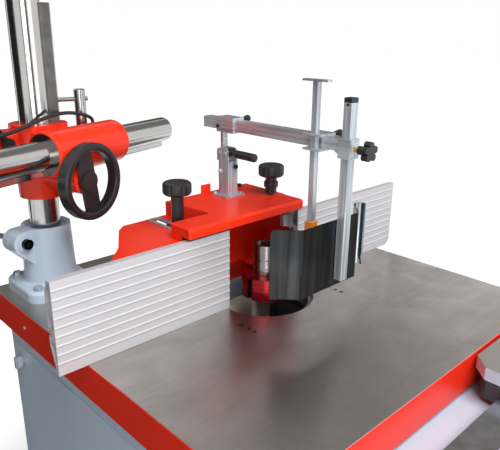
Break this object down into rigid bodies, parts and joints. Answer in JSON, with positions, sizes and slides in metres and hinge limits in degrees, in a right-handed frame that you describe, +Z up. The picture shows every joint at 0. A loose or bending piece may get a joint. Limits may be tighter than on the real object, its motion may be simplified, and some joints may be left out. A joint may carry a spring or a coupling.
{
  "type": "spindle moulder with sliding table and feeder stand",
  "caption": "Spindle moulder: ground cast table on a cabinet, ribbed fence boards, red hood, cutter guard on a swing arm, sliding side table and a rack column for a power feeder.",
  "frame": {"origin": "floor under the spindle axis, on the base plate's underside", "axes": "+X to the right along the fence, +Y to the back, +Z up"},
  "size_m": [1.3185, 1.17, 1.51],
  "materials": {
    "red_paint": "smooth gloss powder coat on sheet and castings",
    "grey_paint": "semi-gloss blue-grey paint",
    "table_iron": "ground top, red painted sides",
    "dark_iron": "raw casting",
    "ground_steel": "turned and ground",
    "zinc_steel": "bright zinc plated",
    "chromed_steel": "hard chromed and polished",
    "rack_steel": "dark milled steel with oil film",
    "anodised_profile": "natural anodised extrusion",
    "cast_aluminium": "machined casting",
    "red_aluminium": "red anodised",
    "black_steel": "gloss black sheet",
    "knife_steel": "blackened",
    "black_plastic": "fine satin grain",
    "orange_plastic": "moulded",
    "green_plastic": "moulded",
    "red_plastic": "moulded",
    "black_rubber": "matt",
    "motor_paint": "dark grey"
  },
  "bodies": {
    "machine": {"base_frame": "grey_paint", "cabinet": "grey_paint", "door_hinges": "zinc_steel", "table": "table_iron", "spindle_guide": "dark_iron", "switch_box": "black_plastic", "slide_support": "grey_paint", "slide_rail": "ground_steel", "feeder_base": "grey_paint"},
    "door": {"door": "grey_paint"},
    "door_latch": {"door_latch": "black_plastic"},
    "quill": {"quill": "ground_steel", "motor_bracket": "dark_iron", "motor": "motor_paint", "drive_belt": "black_rubber"},
    "spindle": {"spindle_shaft": "ground_steel", "spacer_rings": "ground_steel", "cutter_head": "red_aluminium", "cutter_knives": "knife_steel", "spindle_screw": "ground_steel", "spindle_pulley": "dark_iron"},
    "motor_pulley": {"motor_pulley": "dark_iron"},
    "height_handwheel": {"height_handwheel": "dark_iron"},
    "height_screw": {"height_screw": "ground_steel"},
    "start_button": {"start_button": "green_plastic"},
    "stop_button": {"stop_button": "red_plastic"},
    "fence": {"hood": "red_paint", "slot_plate": "zinc_steel", "carrier_left": "cast_aluminium", "carrier_right": "cast_aluminium", "extraction_spout": "red_paint", "toggle_upright": "zinc_steel"},
    "board_left": {"board_left": "anodised_profile"},
    "board_right": {"board_right": "anodised_profile"},
    "knob_left": {"knob_left": "black_plastic"},
    "knob_right": {"knob_right": "black_plastic"},
    "toggle_handle": {"toggle_handle": "black_plastic"},
    "arm_carrier": {"arm_carrier": "zinc_steel"},
    "arm": {"guard_arm": "zinc_steel", "bar_bracket": "zinc_steel"},
    "arm_lever": {"arm_lever": "black_plastic"},
    "bar_lever": {"bar_lever": "black_plastic"},
    "star_knob": {"star_knob": "black_plastic"},
    "hold_down": {"hold_down_bar": "zinc_steel", "hold_down_pad": "orange_plastic"},
    "guard": {"guard_post": "zinc_steel", "post_cap": "black_plastic", "guard_plate": "black_steel"},
    "column": {"feeder_column": "chromed_steel", "column_rack": "rack_steel"},
    "cross_clamp": {"cross_clamp": "red_paint", "feeder_lead": "black_rubber", "lead_ends": "black_rubber"},
    "lift_pinion": {"lift_pinion": "rack_steel"},
    "feeder_wheel": {"feeder_wheel": "black_plastic"},
    "column_lever": {"column_lever": "black_plastic"},
    "clamp_screw": {"clamp_screw": "chromed_steel"},
    "feeder_arm": {"feeder_arm": "chromed_steel"},
    "base_lever": {"base_lever": "zinc_steel"},
    "sliding_table": {"sliding_table": "anodised_profile"}
  },
  "joints": [
    {"name": "door_swing", "type": "hinge", "parent": "machine", "child": "door", "pos_m": [-0.449, -0.307, 0.455], "axis": [0, 0, 1], "range_deg": [0, 110]},
    {"name": "latch_turn", "type": "hinge", "parent": "door", "child": "door_latch", "pos_m": [-0.444, 0.34, 0.724], "axis": [1, 0, 0], "range_deg": [0, 90]},
    {"name": "height_wheel_turn", "type": "hinge", "parent": "machine", "child": "height_handwheel", "pos_m": [0, -0.425, 0.625], "axis": [0, -1, 0], "range_deg": [-2880, 1800]},
    {"name": "quill_slide", "type": "slide", "parent": "machine", "child": "quill", "axis": [0, 0, 1], "range_m": [-0.0801, 0.0501]},
    {"name": "height_screw_turn", "type": "hinge", "parent": "machine", "child": "height_screw", "pos_m": [0, -0.12, 0.47], "axis": [0, 0, 1], "range_deg": [-2881, 1801]},
    {"name": "spindle_spin", "type": "hinge", "parent": "quill", "child": "spindle", "pos_m": [0, 0, 0.67], "axis": [0, 0, 1], "continuous": true},
    {"name": "motor_spin", "type": "hinge", "parent": "quill", "child": "motor_pulley", "pos_m": [0, 0.265, 0.47], "axis": [0, 0, 1], "continuous": true},
    {"name": "start_press", "type": "slide", "parent": "machine", "child": "start_button", "axis": [0, 1, 0], "range_m": [0, 0.005], "stiffness_N_per_m": 300},
    {"name": "stop_press", "type": "slide", "parent": "machine", "child": "stop_button", "axis": [0, 1, 0], "range_m": [0, 0.005], "stiffness_N_per_m": 300},
    {"name": "fence_shift", "type": "slide", "parent": "machine", "child": "fence", "axis": [0, 1, 0], "range_m": [-0.01, 0.05]},
    {"name": "board_left_slide", "type": "slide", "parent": "fence", "child": "board_left", "axis": [1, 0, 0], "range_m": [-0.035, 0.03]},
    {"name": "board_right_slide", "type": "slide", "parent": "fence", "child": "board_right", "axis": [1, 0, 0], "range_m": [-0.03, 0.035]},
    {"name": "knob_left_turn", "type": "hinge", "parent": "fence", "child": "knob_left", "pos_m": [-0.174, 0.092, 1.11], "axis": [0, 0, 1], "range_deg": [-180, 180]},
    {"name": "knob_right_turn", "type": "hinge", "parent": "fence", "child": "knob_right", "pos_m": [0.093, 0.078, 1.11], "axis": [0, 0, 1], "range_deg": [-180, 180]},
    {"name": "toggle_swing", "type": "hinge", "parent": "fence", "child": "toggle_handle", "pos_m": [0.014, 0.137, 1.179], "axis": [1, 0, 0], "range_deg": [-20, 35]},
    {"name": "arm_swing", "type": "hinge", "parent": "fence", "child": "arm_carrier", "pos_m": [0.014, 0.157, 1.179], "axis": [-1, 0, 0], "range_deg": [0, 75]},
    {"name": "arm_slide", "type": "slide", "parent": "arm_carrier", "child": "arm", "axis": [0, 1, 0], "range_m": [-0.04, 0.08]},
    {"name": "arm_lever_turn", "type": "hinge", "parent": "arm_carrier", "child": "arm_lever", "pos_m": [0.04, 0.14, 1.2455], "axis": [1, 0, 0], "range_deg": [-40, 60]},
    {"name": "bar_lever_turn", "type": "hinge", "parent": "arm", "child": "bar_lever", "pos_m": [0.04, -0.126, 1.2455], "axis": [1, 0, 0], "range_deg": [-40, 60]},
    {"name": "star_knob_turn", "type": "hinge", "parent": "arm", "child": "star_knob", "pos_m": [0.014, -0.225, 1.239], "axis": [0, -1, 0], "range_deg": [-180, 180]},
    {"name": "bar_slide", "type": "slide", "parent": "arm", "child": "hold_down", "axis": [0, 0, 1], "range_m": [-0.08, 0.12]},
    {"name": "post_slide", "type": "slide", "parent": "arm", "child": "guard", "axis": [0, 0, 1], "range_m": [-0.06, 0.11]},
    {"name": "column_swivel", "type": "hinge", "parent": "machine", "child": "column", "pos_m": [-0.341, 0.373, 1.07], "axis": [0, 0, 1], "range_deg": [-12, 20]},
    {"name": "clamp_lift", "type": "slide", "parent": "column", "child": "cross_clamp", "axis": [0, 0, 1], "range_m": [-0.01, 0.2]},
    {"name": "lift_pinion_turn", "type": "hinge", "parent": "cross_clamp", "child": "lift_pinion", "pos_m": [-0.28236, 0.35619, 1.17], "axis": [-0.2756, -0.9613, 0], "range_deg": [-58, 1147]},
    {"name": "feeder_arm_slide", "type": "slide", "parent": "cross_clamp", "child": "feeder_arm", "axis": [0.9511, 0.309, 0], "range_m": [-0.08, 0.12]},
    {"name": "feeder_wheel_turn", "type": "hinge", "parent": "cross_clamp", "child": "feeder_wheel", "pos_m": [-0.31473, 0.29216, 1.14375], "axis": [-0.309, 0.9511, 0], "range_deg": [-245, 368]},
    {"name": "clamp_screw_turn", "type": "hinge", "parent": "cross_clamp", "child": "clamp_screw", "pos_m": [-0.22773, 0.38036, 1.27], "axis": [0, 0, 1], "range_deg": [-110, 5]},
    {"name": "column_lever_turn", "type": "hinge", "parent": "cross_clamp", "child": "column_lever", "pos_m": [-0.415, 0.373, 1.222], "axis": [0, -1, 0], "range_deg": [-30, 40]},
    {"name": "base_lever_turn", "type": "hinge", "parent": "machine", "child": "base_lever", "pos_m": [-0.41092, 0.36067, 1.002], "axis": [0.1736, -0.9848, 0], "range_deg": [-25, 25]},
    {"name": "table_slide", "type": "slide", "parent": "machine", "child": "sliding_table", "axis": [1, 0, 0], "range_m": [-0.45, 0.05]}
  ],
  "couplings": [
    {"joint": "quill_slide", "follows": "height_wheel_turn", "m_per_rad": 0.0015915},
    {"joint": "height_screw_turn", "follows": "height_wheel_turn", "ratio": 1},
    {"joint": "motor_spin", "follows": "spindle_spin", "ratio": 0.64286},
    {"joint": "lift_pinion_turn", "follows": "clamp_lift", "rad_per_m": 100},
    {"joint": "feeder_wheel_turn", "follows": "feeder_arm_slide", "rad_per_m": 53.333}
  ]
}
